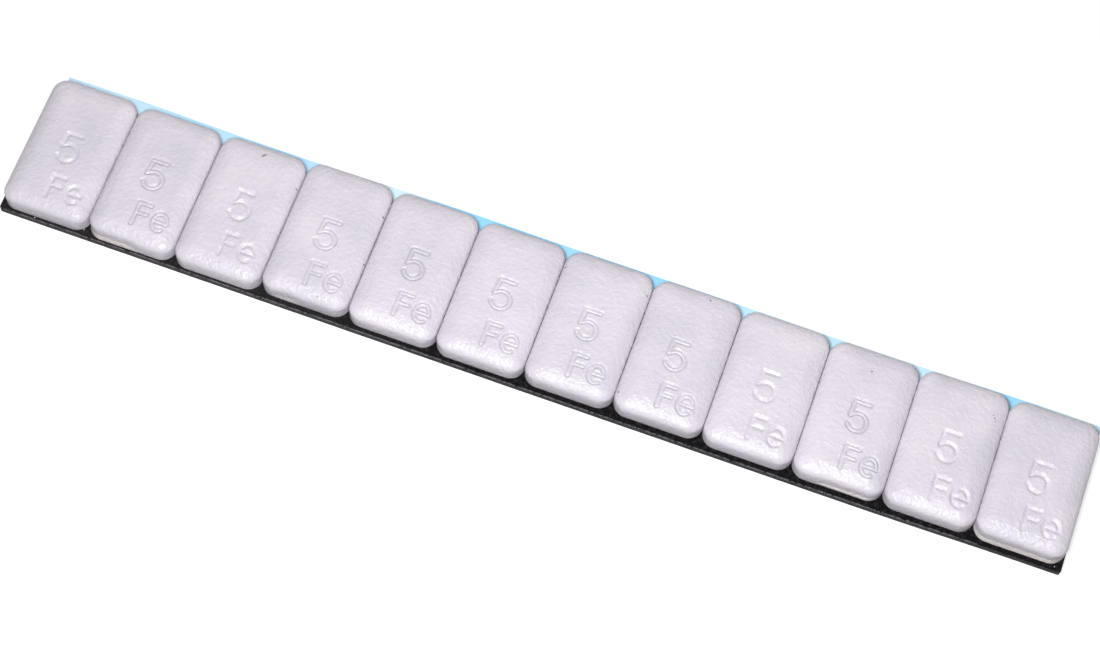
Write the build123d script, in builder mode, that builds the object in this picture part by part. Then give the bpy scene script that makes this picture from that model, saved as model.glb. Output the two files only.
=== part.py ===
"""Strip of stick-on wheel balance weights: coated steel blocks on one foam tape with its release liner.

Millimetres. X runs along the strip, Y across it from front to rear, Z up. The origin is under the
middle of the strip, on the face that it lies on.
"""
import os

from build123d import *

# Row of steel weights
weight_pitch = 12.0  # from one weight to the next
weight_gap = 0.1  # left open between neighbours
weight_width = 18.9  # across the strip
weight_thickness = 3.2
edge_radius = 1.8  # pressed rounding of the upright corners and of the top edge

# How far each weight was laid behind (+) or ahead of (-) the row's middle line
weight_offsets = (-0.2, -0.3, -0.25, 0.1, 0.0, -0.05, 0.05, 0.15, 0.05, 0.05, 0.15, 0.15)

# Foam tape under the row
tape_extra = 0.1  # wider than the weights
tape_thickness = 1.1
tape_end = 0.15  # past the first and the last weight
tape_lead = 0.75  # ahead of the weights' front
tape_corner_radius = 0.25  # worn corners of the cut ends

# Release liner under the tape
liner_thickness = 0.1
peel_edge = 2.4  # free edge behind the tape, for the fingers

# Places that follow from the sizes
weight_count = len(weight_offsets)
weight_length = weight_pitch - weight_gap
first_weight = -weight_pitch * (weight_count - 1) / 2
tape_length = weight_pitch * weight_count - weight_gap + 2 * tape_end
tape_width = weight_width + tape_extra
liner_width = tape_width + peel_edge
front_edge = -liner_width / 2
tape_middle = front_edge + tape_width / 2
row_middle = front_edge + tape_lead + weight_width / 2
weight_base = liner_thickness + tape_thickness

os.makedirs("parts", exist_ok=True)

# Release liner: a flat film, level with the tape in front and free behind it
with BuildPart() as release_liner:
    with BuildSketch():
        Rectangle(tape_length, liner_width)
    extrude(amount=liner_thickness)
release_liner.part.label = "release_liner"
export_step(release_liner.part, "parts/release_liner.step")

# Foam tape: one length that carries the whole row
with BuildPart() as foam_tape:
    with BuildSketch(Plane.XY.offset(liner_thickness)):
        with Locations((0, tape_middle)):
            RectangleRounded(tape_length, tape_width, tape_corner_radius)
    extrude(amount=tape_thickness)
foam_tape.part.label = "foam_tape"
export_step(foam_tape.part, "parts/foam_tape.step")

# Weights: separate blocks, square below for the tape and rounded at every edge that shows
for number, offset in enumerate(weight_offsets, start=1):
    middle = (first_weight + (number - 1) * weight_pitch, row_middle + offset)
    with BuildPart() as weight:
        with BuildSketch(Plane.XY.offset(weight_base)):
            with Locations(middle):
                Rectangle(weight_length, weight_width)
        extrude(amount=weight_thickness)
        upright_edges = weight.edges().filter_by(Axis.Z)
        top_edges = weight.faces().sort_by(Axis.Z)[-1].edges()
        fillet(upright_edges + top_edges, edge_radius)
    weight.part.label = f"weight_{number:02d}"
    export_step(weight.part, f"parts/weight_{number:02d}.step")
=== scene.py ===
import math

import bmesh
import bpy
import numpy as np
from bpy.props import FloatProperty, FloatVectorProperty, IntProperty, PointerProperty
from mathutils import Matrix, Vector, noise


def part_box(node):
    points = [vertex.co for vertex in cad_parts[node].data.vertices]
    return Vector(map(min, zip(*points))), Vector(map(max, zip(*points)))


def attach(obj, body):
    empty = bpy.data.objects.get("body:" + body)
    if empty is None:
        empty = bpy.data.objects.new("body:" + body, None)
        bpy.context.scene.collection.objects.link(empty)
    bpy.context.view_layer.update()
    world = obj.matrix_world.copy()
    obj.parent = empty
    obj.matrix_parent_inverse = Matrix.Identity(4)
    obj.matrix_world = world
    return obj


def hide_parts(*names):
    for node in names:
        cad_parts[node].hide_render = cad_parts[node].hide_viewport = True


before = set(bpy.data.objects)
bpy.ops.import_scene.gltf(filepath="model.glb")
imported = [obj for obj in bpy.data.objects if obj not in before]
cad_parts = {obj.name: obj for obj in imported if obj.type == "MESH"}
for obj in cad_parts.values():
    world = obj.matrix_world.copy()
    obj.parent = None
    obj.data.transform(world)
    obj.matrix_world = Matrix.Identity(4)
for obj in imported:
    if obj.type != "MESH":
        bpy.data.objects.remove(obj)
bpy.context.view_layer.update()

bl_info = {
    "name": "Stick-on wheel weights",
    "version": (1, 0, 0),
    "blender": (4, 5, 0),
    "location": "3D View > Sidebar > Wheel weights",
    "description": "Dresses a strip of stamped, coated wheel balance weights on foam tape",
    "category": "Object",
}

MM = 0.001
BLOCKS = sorted(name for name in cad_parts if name.startswith("weight_"))

# The stamped mark of each block: where the middle of the figure's bowl lies, in millimetres from the
# block's middle, how hard it was struck, and how far the punch left a ridge along the middle of the
# strokes, in the figure and in the symbol, from none to level with the face
MARKS = (
    (0.05, -0.85, 1.1, 0.0, 0.0), (-0.10, -0.40, 1.1, 0.9, 0.9), (0.10, -0.60, 1.1, 0.0, 0.0),
    (0.00, -0.85, 1.0, 0.8, 0.6), (0.15, -0.75, 1.1, 1.0, 0.8), (0.15, -0.70, 1.1, 0.9, 0.7),
    (-0.10, -0.95, 1.0, 0.7, 0.6), (-0.15, -1.10, 1.1, 0.8, 0.6), (-0.10, -1.10, 1.1, 0.0, 0.0),
    (0.15, -0.85, 1.2, 1.0, 0.8), (0.00, -0.95, 1.2, 0.0, 0.0), (-0.10, -0.95, 1.1, 0.0, 0.0),
)

# Sheared skirts under the pressed rounding in front: block number, from and to along the block in
# millimetres, and then, as shares of the skirt's reach, how far it is tucked in at its crease, how high
# its lip stands and how far it is tucked in below the lip
SKIRTS = (
    (2, -8.0, 0.8, 0.9, 0.05, 0.0), (4, -3.2, -0.6, 0.6, 0.05, 0.0), (10, -1.8, 4.8, 0.7, 0.35, 0.2),
    (12, -8.0, 8.0, 0.9, 0.05, 0.0),
)

# Dark specks in the coat: block number, place from the block's middle and radius, in millimetres
SPECKS = (
    (3, 0.11, 7.92, 0.17), (3, 0.30, 8.12, 0.12), (3, -0.02, 7.66, 0.11), (3, 5.70, 5.13, 0.12),
    (4, 5.75, 5.00, 0.13), (4, 5.80, -2.10, 0.12), (4, 1.96, -8.65, 0.10), (7, -5.60, 6.60, 0.12),
    (7, 5.60, 6.50, 0.12), (8, 1.50, 8.40, 0.13), (8, -5.60, -7.40, 0.13), (10, -0.10, 6.30, 0.12),
    (11, 4.44, 5.61, 0.10), (11, 4.60, 5.25, 0.08), (11, 4.20, 5.92, 0.08),
)


def linear(colour):
    """An sRGB hex colour as linear red, green and blue."""
    channels = [int(colour[place:place + 2], 16) / 255 for place in (1, 3, 5)]
    return [c / 12.92 if c <= 0.04045 else ((c + 0.055) / 1.055) ** 2.4 for c in channels]


class WeightSettings(bpy.types.PropertyGroup):
    """Shape and coat of the steel blocks."""

    corner_radius: FloatProperty(
        name="Corner radius", description="Rounding of the upright corners", default=2.0 * MM, unit="LENGTH")
    edge_width: FloatProperty(
        name="Edge width", description="How far the pressed rounding reaches in from the wall",
        default=2.4 * MM, unit="LENGTH")
    edge_height: FloatProperty(
        name="Edge height", description="How far the pressed rounding reaches down", default=1.56 * MM,
        unit="LENGTH")
    edge_roll: FloatProperty(
        name="Edge roll", description="How softly the face rolls into the rounding, 2 is an ellipse",
        default=1.5, min=1.1, max=4)
    edge_turn: FloatProperty(
        name="Edge turn", description="How sharply the rounding turns into the front and rear walls",
        default=3.9, min=1.1, max=8)
    side_turn: FloatProperty(
        name="Side turn", description="How sharply the rounding turns into the walls between blocks",
        default=2.3, min=1.1, max=8)
    corner_power: FloatProperty(
        name="Corner power", description="How squarely the rounding turns the corners, 2 is round",
        default=1.8, min=1.1, max=8)
    edge_steps: IntProperty(
        name="Edge steps", description="Faces across the rounding", default=16, min=3)
    mark_depth: FloatProperty(
        name="Mark depth", description="Depth of the stamped strokes", default=0.19 * MM, unit="LENGTH")
    stroke_width: FloatProperty(
        name="Stroke width", description="Width of a plain stamped stroke", default=0.85 * MM, unit="LENGTH")
    groove_width: FloatProperty(
        name="Groove width", description="Width of each groove of a stroke with a ridge",
        default=0.46 * MM, unit="LENGTH")
    groove_spacing: FloatProperty(
        name="Groove spacing", description="Between the two grooves of a stroke with a ridge",
        default=0.47 * MM, unit="LENGTH")
    mesh_step: FloatProperty(
        name="Mesh step", description="Spacing of the mesh under the marks", default=0.06 * MM, unit="LENGTH")
    side_coat: FloatProperty(
        name="Side coat", description="How far the coat stands out into the gaps between blocks",
        default=0.03 * MM, unit="LENGTH")
    crease_drop: FloatProperty(
        name="Crease drop", description="From the face down to the crease above a sheared skirt",
        default=2.3 * MM, unit="LENGTH")
    skirt_reach: FloatProperty(
        name="Skirt reach", description="How far a sheared skirt stands out from its crease",
        default=0.25 * MM, unit="LENGTH")
    coat: FloatVectorProperty(
        name="Coat", description="Powder coat", default=linear("#E1DBE4"), subtype="COLOR", size=3)
    coat_cool: FloatVectorProperty(
        name="Cool coat", description="Coat where it lies thicker", default=linear("#D5D0D9"),
        subtype="COLOR", size=3)
    thin_coat: FloatVectorProperty(
        name="Thin coat", description="Coat over the sheared skirt", default=linear("#E8E1DF"),
        subtype="COLOR", size=3)
    # Colour of the real dark specks in pits, and of the painted shade in creases, groove floors and the gaps
    # between blocks
    speck_and_shade: FloatVectorProperty(
        name="Speck", description="Dirt in pits and creases", default=linear("#77737A"), subtype="COLOR",
        size=3)


class TapeSettings(bpy.types.PropertyGroup):
    """Shape and finish of the foam tape."""

    corner_radius: FloatProperty(
        name="Corner radius", description="Worn corners of the cut ends", default=0.25 * MM, unit="LENGTH")
    edge_wander: FloatProperty(
        name="Edge wander", description="How far the cut edges wander inwards", default=0.05 * MM,
        unit="LENGTH")
    left_draw: FloatProperty(
        name="Left draw", description="How far the front edge draws in towards the left end",
        default=0.08 * MM, unit="LENGTH")
    right_draw: FloatProperty(
        name="Right draw", description="How far the front edge draws in at the right end",
        default=0.22 * MM, unit="LENGTH")
    rear_draw: FloatProperty(
        name="Rear draw", description="How far the rear edge draws in under the weights",
        default=0.35 * MM, unit="LENGTH")
    edge_round: FloatProperty(
        name="Edge round", description="Rounding of the top edge in front", default=0.12 * MM, unit="LENGTH")
    foam: FloatVectorProperty(
        name="Foam", description="Foam at its cut faces", default=linear("#4A474C"), subtype="COLOR", size=3)
    foam_dark: FloatVectorProperty(
        name="Dark foam", description="Open cells of the cut faces", default=linear("#1C1A1D"),
        subtype="COLOR", size=3)
    film: FloatVectorProperty(
        name="Adhesive film", description="Sticky face of the tape", default=linear("#060506"),
        subtype="COLOR", size=3)
    # Colour of the painted highlight along the rim in front
    rim: FloatVectorProperty(
        name="Rim", description="Foam rubbed pale along the top edge in front", default=linear("#757278"),
        subtype="COLOR", size=3)
    dust: FloatVectorProperty(
        name="Dust", description="Pale specks stuck to the tape", default=linear("#B9B6B6"),
        subtype="COLOR", size=3)


class LinerSettings(bpy.types.PropertyGroup):
    """Shape and finish of the release liner."""

    edge_wave: FloatProperty(
        name="Edge wave", description="How far the free edge wanders", default=0.32 * MM, unit="LENGTH")
    edge_lift: FloatProperty(
        name="Edge lift", description="How far the free edge rises", default=0.15 * MM, unit="LENGTH")
    end_recess: FloatProperty(
        name="End recess", description="How far the liner stays inside the tape's left end",
        default=0.5 * MM, unit="LENGTH")
    front_recess: FloatProperty(
        name="Front recess", description="How far the liner stays behind the tape's front",
        default=0.45 * MM, unit="LENGTH")
    film: FloatVectorProperty(
        name="Film", description="Release film", default=linear("#9ADAFF"), subtype="COLOR", size=3)
    # Paler blue of the painted sheen on the film
    film_sheen: FloatVectorProperty(
        name="Pale film", description="Film where it is scuffed", default=linear("#D6F1FF"),
        subtype="COLOR", size=3)


class StageSettings(bpy.types.PropertyGroup):
    """Floor, light and camera."""

    floor: FloatVectorProperty(
        name="Floor", description="Pale table", default=linear("#A8A8A8"), subtype="COLOR", size=3)
    floor_size: FloatProperty(name="Floor size", description="Side of the floor", default=4.0, unit="LENGTH")
    floor_glow: FloatProperty(
        name="Floor glow", description="Brightness that the floor adds where it is looked at", default=0.7,
        min=0)
    ambient: FloatProperty(
        name="Room light", description="Strength of the white room", default=0.11, min=0)
    softbox_power: FloatProperty(
        name="Softbox", description="Power of the softbox", default=0.83, min=0, unit="POWER")
    softbox_size: FloatProperty(
        name="Softbox size", description="Side of the softbox", default=0.05, unit="LENGTH")
    softbox_place: FloatVectorProperty(
        name="Softbox place", description="Middle of the softbox", default=(0.010, -0.104, 0.264),
        subtype="TRANSLATION", size=3)
    aim: FloatVectorProperty(
        name="Aim", description="What the camera looks at", default=(0.81 * MM, -0.67 * MM, 0.0),
        subtype="TRANSLATION", size=3)
    azimuth: FloatProperty(
        name="Azimuth", description="Camera's turn round the strip", default=math.radians(14.83),
        subtype="ANGLE")
    elevation: FloatProperty(
        name="Elevation", description="Camera's height angle", default=math.radians(67.61), subtype="ANGLE")
    roll: FloatProperty(
        name="Roll", description="Camera's turn about its own axis", default=math.radians(5.16),
        subtype="ANGLE")
    distance: FloatProperty(
        name="Distance", description="From the camera to its aim", default=329.3 * MM, unit="LENGTH")
    lens: FloatProperty(name="Lens", description="Focal length in millimetres", default=83.1, min=1)


def add_node(tree, kind, inputs=None, **settings):
    """Adds a node with its settings. An input is a value or the output socket to link."""
    node = tree.nodes.new(kind)
    for name, value in settings.items():
        setattr(node, name, value)
    for name, value in (inputs or {}).items():
        if isinstance(value, bpy.types.NodeSocket):
            tree.links.new(value, node.inputs[name])
        else:
            node.inputs[name].default_value = value
    return node


def new_material(name):
    """An empty node material with its output node."""
    material = bpy.data.materials.new(name)
    material.use_nodes = True
    material.node_tree.nodes.clear()
    return material, material.node_tree, add_node(material.node_tree, "ShaderNodeOutputMaterial")


def opaque(colour):
    """A colour with full alpha, as colour sockets take it."""
    return (*colour, 1.0)


def per_size(size):
    """Texture scale for features of that size."""
    return 1.0 / size


def background_rays(tree):
    """1 where the background is looked at: straight, in a reflection or through something clear."""
    path = add_node(tree, "ShaderNodeLightPath")
    seen = add_node(tree, "ShaderNodeMath", {
        0: path.outputs["Is Camera Ray"], 1: path.outputs["Is Glossy Ray"]}, operation="MAXIMUM")
    shown = add_node(tree, "ShaderNodeMath", {
        0: seen.outputs[0], 1: path.outputs["Is Transmission Ray"]}, operation="MAXIMUM")
    return shown.outputs[0]


def powder_coat(settings):
    """Powder coat on pressed steel: satin, pale lilac grey, with the orange peel of a baked coat."""
    material, tree, output = new_material("powder_coated_steel")
    place = add_node(tree, "ShaderNodeTexCoord").outputs["Object"]
    clouds = add_node(tree, "ShaderNodeTexNoise", {
        "Vector": place, "Scale": per_size(7 * MM), "Detail": 3.0, "Roughness": 0.55})
    cloud_share = add_node(tree, "ShaderNodeMapRange", {
        "Value": clouds.outputs["Fac"], "From Min": 0.35, "From Max": 0.65})
    coat = add_node(tree, "ShaderNodeMix", {
        "Factor": cloud_share.outputs["Result"], 6: opaque(settings.coat), 7: opaque(settings.coat_cool)},
        data_type="RGBA")
    thin = add_node(tree, "ShaderNodeAttribute", attribute_name="thin_coat")
    walled = add_node(tree, "ShaderNodeMix", {
        "Factor": thin.outputs["Fac"], 6: coat.outputs[2], 7: opaque(settings.thin_coat)}, data_type="RGBA")
    plan = add_node(tree, "ShaderNodeVectorMath", {0: place, 1: (1.0, 1.0, 0.0)}, operation="MULTIPLY")
    # Painted shade of the gaps, groove floors and creases, joined below with the real dark specks
    shade_and_specks = add_node(tree, "ShaderNodeAttribute", attribute_name="painted_shade").outputs["Fac"]
    for block, x, y, radius in SPECKS:
        low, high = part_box(BLOCKS[block - 1])
        spot = ((low.x + high.x) / 2 + x * MM, (low.y + high.y) / 2 + y * MM, 0.0)
        away = add_node(tree, "ShaderNodeVectorMath", {0: plan.outputs[0], 1: spot}, operation="DISTANCE")
        hit = add_node(tree, "ShaderNodeMapRange", {
            "Value": away.outputs["Value"], "From Min": 1.2 * radius * MM, "From Max": 0.6 * radius * MM})
        shade_and_specks = add_node(
            tree, "ShaderNodeMath", {0: shade_and_specks, 1: hit.outputs["Result"]}, operation="MAXIMUM").outputs[0]
    colour = add_node(tree, "ShaderNodeMix", {
        "Factor": shade_and_specks, 6: walled.outputs[2], 7: opaque(settings.speck_and_shade)}, data_type="RGBA")
    peel = add_node(tree, "ShaderNodeTexNoise", {
        "Vector": place, "Scale": per_size(0.58 * MM), "Detail": 2.0, "Roughness": 0.5})
    # The grains of the powder are finer than this, and are drawn coarser so that they show
    grit = add_node(tree, "ShaderNodeTexNoise", {
        "Vector": place, "Scale": per_size(0.20 * MM), "Detail": 1.0, "Roughness": 0.5})
    peel_bump = add_node(tree, "ShaderNodeBump", {
        "Strength": 0.8, "Distance": 0.17 * MM, "Height": peel.outputs["Fac"]})
    bump = add_node(tree, "ShaderNodeBump", {
        "Strength": 0.8, "Distance": 0.05 * MM, "Height": grit.outputs["Fac"],
        "Normal": peel_bump.outputs["Normal"]})
    gloss = add_node(tree, "ShaderNodeMapRange", {
        "Value": clouds.outputs["Fac"], "From Min": 0.3, "From Max": 0.7, "To Min": 0.34, "To Max": 0.40})
    shader = add_node(tree, "ShaderNodeBsdfPrincipled", {
        "Base Color": colour.outputs[2], "Roughness": gloss.outputs["Result"], "IOR": 1.5,
        "Normal": bump.outputs["Normal"]})
    tree.links.new(shader.outputs["BSDF"], output.inputs["Surface"])
    return material


def black_foam(settings):
    """Closed-cell polyethylene foam, cut: matt black with grey cells under a tacky adhesive film, with a
    painted highlight in broken pale patches along the rim in front."""
    material, tree, output = new_material("black_polyethylene_foam")
    place = add_node(tree, "ShaderNodeTexCoord").outputs["Object"]
    cells = add_node(tree, "ShaderNodeTexVoronoi", {"Vector": place, "Scale": per_size(0.3 * MM)})
    mottle = add_node(tree, "ShaderNodeTexNoise", {
        "Vector": place, "Scale": per_size(0.6 * MM), "Detail": 3.0, "Roughness": 0.6})
    shade = add_node(tree, "ShaderNodeMath", {
        0: cells.outputs["Distance"], 1: 0.35, 2: mottle.outputs["Fac"]}, operation="MULTIPLY_ADD")
    open_cells = add_node(tree, "ShaderNodeMapRange", {
        "Value": shade.outputs[0], "From Min": 0.48, "From Max": 0.78})
    cut_face = add_node(tree, "ShaderNodeMix", {
        "Factor": open_cells.outputs["Result"], 6: opaque(settings.foam_dark), 7: opaque(settings.foam)},
        data_type="RGBA")
    facing = add_node(tree, "ShaderNodeNewGeometry")
    upward = add_node(tree, "ShaderNodeSeparateXYZ", {"Vector": facing.outputs["True Normal"]})
    worn = add_node(tree, "ShaderNodeMapRange", {
        "Value": mottle.outputs["Fac"], "From Min": 0.45, "From Max": 0.7, "To Min": 1.0, "To Max": 0.75})
    sticky = add_node(tree, "ShaderNodeMapRange", {
        "Value": upward.outputs["Z"], "From Min": 0.5, "From Max": 0.95, "To Max": worn.outputs["Result"]})
    base = add_node(tree, "ShaderNodeMix", {
        "Factor": sticky.outputs["Result"], 6: cut_face.outputs[2], 7: opaque(settings.film)},
        data_type="RGBA")
    # Painted highlight: the bevelled rim in front is mixed towards a pale colour in broken patches, standing
    # in for the light it catches
    slanted = add_node(tree, "ShaderNodeMapRange", {
        "Value": upward.outputs["Z"], "From Min": 0.98, "From Max": 0.9})
    highlit = add_node(tree, "ShaderNodeMapRange", {
        "Value": upward.outputs["Z"], "From Min": 0.15, "From Max": 0.3,
        "To Max": open_cells.outputs["Result"]})
    rim = add_node(tree, "ShaderNodeMath", {
        0: slanted.outputs["Result"], 1: highlit.outputs["Result"]}, operation="MULTIPLY")
    rim_highlighted = add_node(tree, "ShaderNodeMix", {
        "Factor": rim.outputs[0], 6: base.outputs[2], 7: opaque(settings.rim)}, data_type="RGBA")
    grains = add_node(tree, "ShaderNodeTexVoronoi", {"Vector": place, "Scale": per_size(1.6 * MM)})
    grain = add_node(tree, "ShaderNodeMapRange", {
        "Value": grains.outputs["Distance"], "From Min": 0.07, "From Max": 0.03})
    along = add_node(tree, "ShaderNodeSeparateXYZ", {"Vector": place})
    dusty = add_node(tree, "ShaderNodeMapRange", {
        "Value": along.outputs["X"], "From Min": -10 * MM, "From Max": -30 * MM, "To Max": 0.02})
    dusted = add_node(tree, "ShaderNodeMath", {
        0: grain.outputs["Result"], 1: dusty.outputs["Result"]}, operation="MAXIMUM")
    colour = add_node(tree, "ShaderNodeMix", {
        "Factor": dusted.outputs[0], 6: rim_highlighted.outputs[2], 7: opaque(settings.dust)}, data_type="RGBA")
    bump = add_node(tree, "ShaderNodeBump", {
        "Strength": 0.8, "Distance": 0.08 * MM, "Height": shade.outputs[0]})
    shader = add_node(tree, "ShaderNodeBsdfPrincipled", {
        "Base Color": colour.outputs[2], "Roughness": 0.7, "Specular IOR Level": 0.08,
        "Normal": bump.outputs["Normal"]})
    tree.links.new(shader.outputs["BSDF"], output.inputs["Surface"])
    return material


def blue_film(settings):
    """Siliconed polyethylene film: smooth and pale blue, paler in patches of painted sheen that stand in for
    light it catches.
    """
    material, tree, output = new_material("blue_polyethylene_film")
    place = add_node(tree, "ShaderNodeTexCoord").outputs["Object"]
    painted_sheen = add_node(tree, "ShaderNodeAttribute", attribute_name="painted_sheen")
    colour = add_node(tree, "ShaderNodeMix", {
        "Factor": painted_sheen.outputs["Fac"], 6: opaque(settings.film), 7: opaque(settings.film_sheen)},
        data_type="RGBA")
    ripple = add_node(tree, "ShaderNodeTexNoise", {
        "Vector": place, "Scale": per_size(1.5 * MM), "Detail": 1.0})
    bump = add_node(tree, "ShaderNodeBump", {
        "Strength": 0.4, "Distance": 0.02 * MM, "Height": ripple.outputs["Fac"]})
    shader = add_node(tree, "ShaderNodeBsdfPrincipled", {
        "Base Color": colour.outputs[2], "Roughness": 0.35, "IOR": 1.5, "Normal": bump.outputs["Normal"]})
    tree.links.new(shader.outputs["BSDF"], output.inputs["Surface"])
    return material


def white_table(settings):
    """White laminate: plain white, bright to the eye and to reflections, darker only in a shadow."""
    material, tree, output = new_material("white_laminate")
    glow = add_node(tree, "ShaderNodeMath", {
        0: background_rays(tree), 1: settings.floor_glow}, operation="MULTIPLY")
    shader = add_node(tree, "ShaderNodeBsdfPrincipled", {
        "Base Color": opaque(settings.floor), "Roughness": 0.9, "Emission Color": (1.0, 1.0, 1.0, 1.0),
        "Emission Strength": glow.outputs[0]})
    tree.links.new(shader.outputs["BSDF"], output.inputs["Surface"])
    return material


def arc(middle, radii, start, end, steps=28):
    """Points along an arc of an ellipse, from one angle to another in degrees."""
    angles = np.radians(np.linspace(start, end, steps + 1))
    return [(middle[0] + radii[0] * math.cos(a), middle[1] + radii[1] * math.sin(a)) for a in angles]


def mark_strokes():
    """Strokes of the mass figure and the iron symbol, in millimetres from the middle of the figure's bowl."""
    bowl, bowl_start, bowl_end = 1.23, 125, -155
    bar, bar_tip, stem_top, stem_foot = 2.72, 1.0, -0.96, (-1.1, 0.75)
    figure = [(bar_tip, bar), (stem_top, bar), stem_foot]
    figure += arc((0, 0), (bowl, bowl), bowl_start, bowl_end)
    stem, cap, waist, foot = -0.28, -3.5, -4.89, -6.55
    cap_tip, waist_tip = 1.35, 1.15
    capital = [(cap_tip, cap), (stem, cap), (stem, foot)]
    capital_bar = [(stem, waist), (waist_tip, waist)]
    eye, eye_radii, eye_end = (3.15, -5.28), (0.94, 1.19), 305
    small = [(eye[0] - eye_radii[0], eye[1])] + arc(eye, eye_radii, 0, eye_end)
    return [figure], [capital, capital_bar, small]


def stroke_distance(x, y, strokes):
    """Distance from each place to the nearest stroke."""
    nearest = np.full(len(x), np.inf)
    for points in strokes:
        for (ax, ay), (bx, by) in zip(points, points[1:]):
            run_x, run_y = bx - ax, by - ay
            share = ((x - ax) * run_x + (y - ay) * run_y) / (run_x ** 2 + run_y ** 2)
            share = np.clip(share, 0, 1)
            nearest = np.minimum(nearest, np.hypot(x - ax - share * run_x, y - ay - share * run_y))
    return nearest


def notch(value, width):
    """A straight-walled notch, 1 at zero and 0 from half the width either side."""
    return np.clip(1 - 2 * np.abs(value) / width, 0, 1)


def bell(value, width):
    """A smooth hump, 1 at zero and half as high at half the width either side."""
    return np.exp(-4 * math.log(2) * (value / width) ** 2)


def ease(value, low, high):
    """A smooth step from 0 at low to 1 at high."""
    share = np.clip((value - low) / (high - low), 0, 1)
    return share * share * (3 - 2 * share)


def pressed_height(x, y, size, settings):
    """Height of the pressed face over the plan of a block."""
    inside_x = size.x / 2 - np.abs(x)
    inside_y = size.y / 2 - np.abs(y)
    radius, width = settings.corner_radius, settings.edge_width
    # Near the wall the level lines follow the rounded outline, and further in they round the corner
    to_wall = radius - np.hypot(np.clip(radius - inside_x, 0, None), np.clip(radius - inside_y, 0, None))
    outer = 1 - to_wall / width
    across = np.clip(1 - inside_x / width, 0, 1) ** settings.corner_power
    endways = np.clip(1 - inside_y / width, 0, 1) ** settings.corner_power
    inner = (across + endways) ** (1 / settings.corner_power)
    level = np.clip(outer + (inner - outer) * ease(to_wall, 0.3 * radius, 0.8 * radius), 0, 1)
    sideways = across / np.maximum(across + endways, 1e-9)
    turn = settings.edge_turn + (settings.side_turn - settings.edge_turn) * sideways
    rolled = (1 - level ** settings.edge_roll) ** (1 / turn)
    return size.z - settings.edge_height * (1 - rolled)


def cut_across(bm, axis, stations):
    """Cuts the whole mesh square to an axis at each station."""
    normal = Vector((0, 0, 0))
    normal[axis] = 1
    for station in stations:
        bmesh.ops.bisect_plane(
            bm, geom=bm.verts[:] + bm.edges[:] + bm.faces[:], plane_co=normal * station, plane_no=normal)


def between(low, high, step):
    """Evenly spaced stations from low to high, both included, no more than a step apart."""
    return np.linspace(low, high, math.ceil((high - low) / step) + 1)


def pressed_blank(size, settings):
    """A block with rounded corners and top edges, its mesh fine where the marks go."""
    bm = bmesh.new()
    bmesh.ops.create_cube(bm, size=1.0)
    bmesh.ops.scale(bm, vec=size, verts=bm.verts)
    bmesh.ops.translate(bm, vec=(0, 0, size.z / 2), verts=bm.verts)
    upright = [e for e in bm.edges if abs(e.verts[0].co.z - e.verts[1].co.z) > size.z / 2]
    top = [e for e in bm.edges if min(v.co.z for v in e.verts) > size.z / 2]
    bmesh.ops.bevel(
        bm, geom=upright + top, offset=settings.corner_radius, segments=settings.edge_steps, profile=0.5,
        affect="EDGES", material=-1)
    fine, coarse, wall_step = settings.mesh_step, 0.45 * MM, 0.1 * MM
    flat_x, flat_y = size.x / 2 - settings.corner_radius, size.y / 2 - settings.corner_radius
    marks_x, marks_y = (-1.9 * MM, 4.8 * MM), (-8.1 * MM, 2.8 * MM)
    cut_across(bm, 0, between(-flat_x, marks_x[0], coarse)[1:-1])
    cut_across(bm, 0, between(*marks_x, fine))
    cut_across(bm, 1, between(marks_y[1], flat_y, coarse)[1:-1])
    cut_across(bm, 1, between(*marks_y, fine))
    cut_across(bm, 2, between(0, size.z - settings.corner_radius, wall_step)[1:-1])
    bmesh.ops.dissolve_faces(bm, faces=[f for f in bm.faces if max(v.co.z for v in f.verts) < 1e-7])
    for edge in bm.edges:
        edge.smooth = max(v.co.z for v in edge.verts) > 1e-7
    for face in bm.faces:
        face.smooth = True
    mesh = bpy.data.meshes.new("pressed_blank")
    bm.to_mesh(mesh)
    bm.free()
    return mesh


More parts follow.
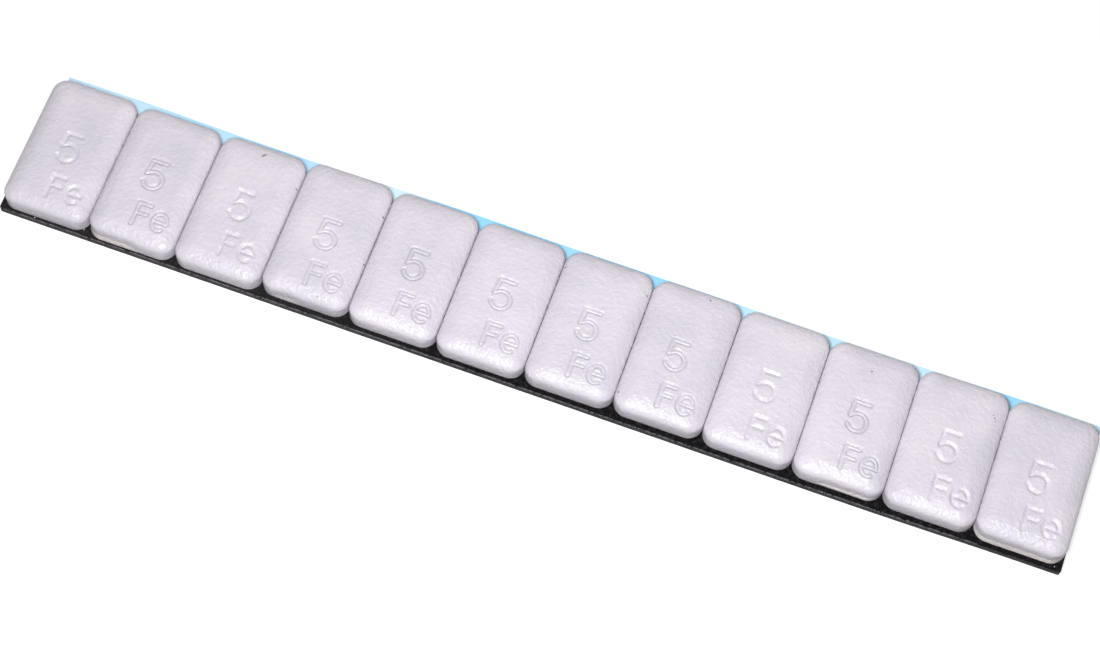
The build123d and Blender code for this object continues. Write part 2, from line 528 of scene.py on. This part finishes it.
def stamped_block(name, blank, size, number, settings):
    """One block: the blank pressed, stamped, sheared at its foot and set down on the tape."""
    mesh = blank.copy()
    mesh.name = name
    points = np.empty(len(mesh.vertices) * 3, np.float32)
    mesh.vertices.foreach_get("co", points)
    points = points.reshape(-1, 3).astype(float)
    x, y, z = points.T
    wall = size.z - settings.corner_radius
    face = z > wall + 1e-6
    height = pressed_height(x, y, size, settings)
    # Painted shade: the coat is darkened in the gaps between the blocks on the left and in the floors
    # of the paired grooves, where shade falls
    beside = ease(np.abs(x), size.x / 2 - 0.25 * MM, size.x / 2)
    has_neighbour = np.where(x > 0, number < len(BLOCKS), number > 1)
    shade_and_specks = np.interp(number, (5, 8), (0.2, 0.0)) * beside * has_neighbour
    mark_x, mark_y, blow, *ridges = MARKS[number - 1]
    depth = np.zeros(len(x))
    for strokes, ridge in zip(mark_strokes(), ridges):
        nearest = stroke_distance(x / MM - mark_x, y / MM - mark_y, strokes) * MM
        plain = notch(nearest, settings.stroke_width)
        paired = notch(nearest - settings.groove_spacing / 2, settings.groove_width)
        depth += blow * settings.mark_depth * (plain + ridge * (0.85 * paired - plain))
        # Painted shade in the floors of the paired grooves
        shade_and_specks = np.maximum(shade_and_specks, 0.4 * ridge * paired ** 2)
    # No two strokes bit evenly
    struck = depth > 0
    places = points[struck] * per_size(0.9 * MM) + (0, 0, 7 * number)
    depth[struck] *= 1 + 0.6 * np.array([noise.noise(Vector(place)) for place in places])
    # The wall's rows stretch up to the foot of the rounding
    new_z = np.where(face, height - depth, z * (size.z - settings.edge_height) / wall)
    crease = size.z - settings.crease_drop
    thin = np.zeros(len(x))
    tuck = np.zeros(len(x))
    front = ease(-y, size.y / 2 - settings.corner_radius, size.y / 2 - 0.7 * settings.corner_radius)
    for block, start, end, share, lip, under in SKIRTS:
        if block == number:
            begins = ease(x, (start - 1.2) * MM, (start + 1.2) * MM)
            run = front * begins * (1 - ease(x, (end - 1.2) * MM, (end + 1.2) * MM))
            up = np.clip(new_z / crease, 0, 1)
            tuck += run * settings.skirt_reach * np.interp(up, (0, lip, 1), (under, 0, share))
            thin = np.maximum(thin, min(share, 1) * run * (up < 0.99))
            # Painted shade along the crease above the skirt
            shade_and_specks = np.maximum(shade_and_specks, 0.25 * min(share, 1) * run * bell(new_z - crease, 0.3 * MM))
    points = np.column_stack((x * (1 + 2 * settings.side_coat / size.x), y + tuck, new_z))
    low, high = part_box(BLOCKS[number - 1])
    points += np.array(((low.x + high.x) / 2, (low.y + high.y) / 2, low.z))
    mesh.vertices.foreach_set("co", points.astype(np.float32).ravel())
    for attribute, values in (("thin_coat", thin), ("painted_shade", shade_and_specks)):
        mesh.attributes.new(attribute, "FLOAT", "POINT").data.foreach_set("value", values.astype(np.float32))
    mesh.update()
    return bpy.data.objects.new(name, mesh)


def place_piece(piece, node, material):
    """Links a finished piece, gives it its material and lets it stand for its node."""
    bpy.context.scene.collection.objects.link(piece)
    piece.data.materials.clear()
    piece.data.materials.append(material)
    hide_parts(node)
    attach(piece, "root")


def box_mesh(node):
    """A bmesh block that fills a node's box."""
    low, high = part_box(node)
    bm = bmesh.new()
    bmesh.ops.create_cube(bm, size=1.0)
    bmesh.ops.scale(bm, vec=high - low, verts=bm.verts)
    bmesh.ops.translate(bm, vec=(low + high) / 2, verts=bm.verts)
    return bm, low, high


class WHEELWEIGHT_OT_weights(bpy.types.Operator):
    """Make the stamped and coated steel blocks"""

    bl_idname = "wheelweight.weights"
    bl_label = "Steel weights"

    def execute(self, context):
        settings = context.scene.weight_settings
        low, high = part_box(BLOCKS[0])
        size = high - low
        blank = pressed_blank(size, settings)
        material = powder_coat(settings)
        for number, node in enumerate(BLOCKS, start=1):
            piece = stamped_block(f"coated_{node}", blank, size, number, settings)
            place_piece(piece, node, material)
        bpy.data.meshes.remove(blank)
        return {"FINISHED"}


class WHEELWEIGHT_OT_tape(bpy.types.Operator):
    """Make the foam tape with its wandering cut edges"""

    bl_idname = "wheelweight.tape"
    bl_label = "Foam tape"

    def execute(self, context):
        settings = context.scene.tape_settings
        bm, low, high = box_mesh("foam_tape")
        size = high - low
        upright = [e for e in bm.edges if abs(e.verts[0].co.z - e.verts[1].co.z) > size.z / 2]
        bmesh.ops.bevel(
            bm, geom=upright, offset=settings.corner_radius, segments=3, profile=0.5, affect="EDGES",
            material=-1)
        lengthwise = [e for e in bm.edges if abs(e.verts[0].co.x - e.verts[1].co.x) > size.x / 2]
        bmesh.ops.subdivide_edges(bm, edges=lengthwise, cuts=480, use_grid_fill=True)
        front_reach, rear_reach, end_reach = 1.2 * MM, 0.3 * MM, 0.5 * MM
        cut_across(bm, 1, (low.y + 0.3 * MM, low.y + front_reach))
        cut_across(bm, 2, between(low.z, high.z, size.z / 4)[1:-1])
        for vert in bm.verts:
            wander = 0.5 + 0.5 * noise.noise(vert.co * per_size(1.3 * MM))
            long_wave = 0.5 + 0.5 * noise.noise(Vector((vert.co.x * per_size(9 * MM), 0.0, 3.0)))
            front = 1 - min(1.0, (vert.co.y - low.y) / front_reach)
            drawn = settings.left_draw * ease(-vert.co.x, -15 * MM, 45 * MM)
            drawn += settings.right_draw * ease(vert.co.x, 46 * MM, 68 * MM)
            vert.co.y += front * (drawn + settings.edge_wander * (0.5 * wander + 0.5 * long_wave))
            if vert.co.y > high.y - rear_reach:
                vert.co.y -= settings.rear_draw
            end = 1 - min(1.0, (high.x - vert.co.x) / end_reach)
            vert.co.x -= end * settings.edge_wander * wander
        rim = [e for e in bm.edges if all(
            v.co.z > high.z - 1e-7 and v.co.y < low.y + 0.2 * MM for v in e.verts)]
        bmesh.ops.bevel(
            bm, geom=rim, offset=settings.edge_round, segments=2, profile=0.5, affect="EDGES", material=-1)
        bmesh.ops.dissolve_degenerate(bm, dist=0.001 * MM, edges=bm.edges)
        for face in bm.faces:
            face.smooth = False
        mesh = bpy.data.meshes.new("foam_strip")
        bm.to_mesh(mesh)
        bm.free()
        place_piece(bpy.data.objects.new("foam_strip", mesh), "foam_tape", black_foam(settings))
        return {"FINISHED"}


class WHEELWEIGHT_OT_liner(bpy.types.Operator):
    """Make the release liner with its wavy free edge"""

    bl_idname = "wheelweight.liner"
    bl_label = "Release liner"

    def execute(self, context):
        settings = context.scene.liner_settings
        bm, low, high = box_mesh("release_liner")
        tape_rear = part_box("foam_tape")[1].y
        lengthwise = [e for e in bm.edges if abs(e.verts[0].co.x - e.verts[1].co.x) > (high - low).x / 2]
        bmesh.ops.subdivide_edges(bm, edges=lengthwise, cuts=240, use_grid_fill=True)
        cut_across(bm, 1, between(tape_rear, high.y, 0.4 * MM)[:-1])
        for vert in bm.verts:
            free = max(0.0, (vert.co.y - tape_rear) / (high.y - tape_rear))
            wave = 0.5 + noise.noise(Vector((vert.co.x * per_size(26 * MM), 102.0, 5.0)))
            lift = 0.5 + 0.5 * noise.noise(Vector((vert.co.x * per_size(10 * MM), 5.0, 0.0)))
            vert.co.y -= free * settings.edge_wave * min(max(wave, 0.0), 1.0)
            vert.co.z += free ** 2 * settings.edge_lift * lift
            if vert.co.y < low.y + 1e-7:
                vert.co.y += settings.front_recess
            if vert.co.x < low.x + 1e-7:
                vert.co.x += settings.end_recess
        for face in bm.faces:
            face.smooth = False
        mesh = bpy.data.meshes.new("liner_film")
        bm.to_mesh(mesh)
        bm.free()
        # Painted sheen: paler patches in clouds along the film, standing in for light it catches
        along = [vert.co.x * per_size(16 * MM) for vert in mesh.vertices]
        clouds = np.array([noise.noise(Vector((place, 161.5, 0.0))) for place in along])
        mesh.attributes.new("painted_sheen", "FLOAT", "POINT").data.foreach_set("value", ease(clouds, -0.4, 0.1))
        place_piece(
            bpy.data.objects.new("liner_film", mesh), "release_liner", blue_film(settings))
        return {"FINISHED"}


class WHEELWEIGHT_OT_stage(bpy.types.Operator):
    """Make the white floor, the light and the camera"""

    bl_idname = "wheelweight.stage"
    bl_label = "Stage"

    def execute(self, context):
        settings = context.scene.stage_settings
        scene = context.scene
        scene.view_settings.view_transform = "Standard"
        bm = bmesh.new()
        bmesh.ops.create_grid(bm, x_segments=1, y_segments=1, size=settings.floor_size / 2)
        bmesh.ops.translate(bm, vec=(0, 0, -0.02 * MM), verts=bm.verts)
        mesh = bpy.data.meshes.new("floor")
        bm.to_mesh(mesh)
        bm.free()
        mesh.materials.append(white_table(settings))
        floor = bpy.data.objects.new("floor", mesh)
        scene.collection.objects.link(floor)
        self.light_room(scene, settings)
        self.set_camera(scene, settings)
        return {"FINISHED"}

    def light_room(self, scene, settings):
        """An even white room, with one softbox above and in front of the strip."""
        world = bpy.data.worlds.new("white_room")
        world.use_nodes = True
        tree = world.node_tree
        tree.nodes.clear()
        strength = add_node(tree, "ShaderNodeMapRange", {
            "Value": background_rays(tree), "To Min": settings.ambient, "To Max": 1.0})
        background = add_node(tree, "ShaderNodeBackground", {
            "Color": (1.0, 1.0, 1.0, 1.0), "Strength": strength.outputs["Result"]})
        output = add_node(tree, "ShaderNodeOutputWorld")
        tree.links.new(background.outputs["Background"], output.inputs["Surface"])
        scene.world = world
        softbox = bpy.data.lights.new("softbox", "AREA")
        softbox.shape = "SQUARE"
        softbox.size = settings.softbox_size
        softbox.energy = settings.softbox_power
        lamp = bpy.data.objects.new("softbox", softbox)
        lamp.location = settings.softbox_place
        lamp.rotation_euler = (-Vector(settings.softbox_place)).to_track_quat("-Z", "Y").to_euler()
        scene.collection.objects.link(lamp)

    def set_camera(self, scene, settings):
        """The camera looks down on the strip from in front, a little rolled."""
        level = math.cos(settings.elevation)
        back = Vector((
            math.sin(settings.azimuth) * level, -math.cos(settings.azimuth) * level,
            math.sin(settings.elevation)))
        data = bpy.data.cameras.new("camera")
        data.sensor_width = 36.0
        data.lens = settings.lens
        data.clip_start = 10 * MM
        camera = bpy.data.objects.new("camera", data)
        turn = (-back).to_track_quat("-Z", "Y").to_matrix() @ Matrix.Rotation(settings.roll, 3, "Z")
        camera.matrix_world = Matrix.Translation(
            Vector(settings.aim) + back * settings.distance) @ turn.to_4x4()
        scene.collection.objects.link(camera)
        scene.camera = camera


class WHEELWEIGHT_PT_panel(bpy.types.Panel):
    """Lists the settings and the makers of the pieces"""

    bl_label = "Wheel weights"
    bl_idname = "WHEELWEIGHT_PT_panel"
    bl_space_type = "VIEW_3D"
    bl_region_type = "UI"
    bl_category = "Wheel weights"

    def draw(self, context):
        for settings_name, operator in SECTIONS:
            section = self.layout.box()
            settings = getattr(context.scene, settings_name)
            for name in settings.bl_rna.properties.keys():
                if name not in ("rna_type", "name"):
                    section.prop(settings, name)
            section.operator(operator.bl_idname)


SECTIONS = (
    ("weight_settings", WHEELWEIGHT_OT_weights),
    ("tape_settings", WHEELWEIGHT_OT_tape),
    ("liner_settings", WHEELWEIGHT_OT_liner),
    ("stage_settings", WHEELWEIGHT_OT_stage),
)
GROUPS = (WeightSettings, TapeSettings, LinerSettings, StageSettings)
CLASSES = GROUPS + tuple(operator for _, operator in SECTIONS) + (WHEELWEIGHT_PT_panel,)


def register():
    for item in CLASSES:
        bpy.utils.register_class(item)
    for group, (settings_name, _) in zip(GROUPS, SECTIONS):
        setattr(bpy.types.Scene, settings_name, PointerProperty(type=group))


def unregister():
    for settings_name, _ in SECTIONS:
        delattr(bpy.types.Scene, settings_name)
    for item in reversed(CLASSES):
        bpy.utils.unregister_class(item)


def main():
    register()
    bpy.ops.wheelweight.weights()
    bpy.ops.wheelweight.tape()
    bpy.ops.wheelweight.liner()
    bpy.ops.wheelweight.stage()


if __name__ == "__main__":
    main()
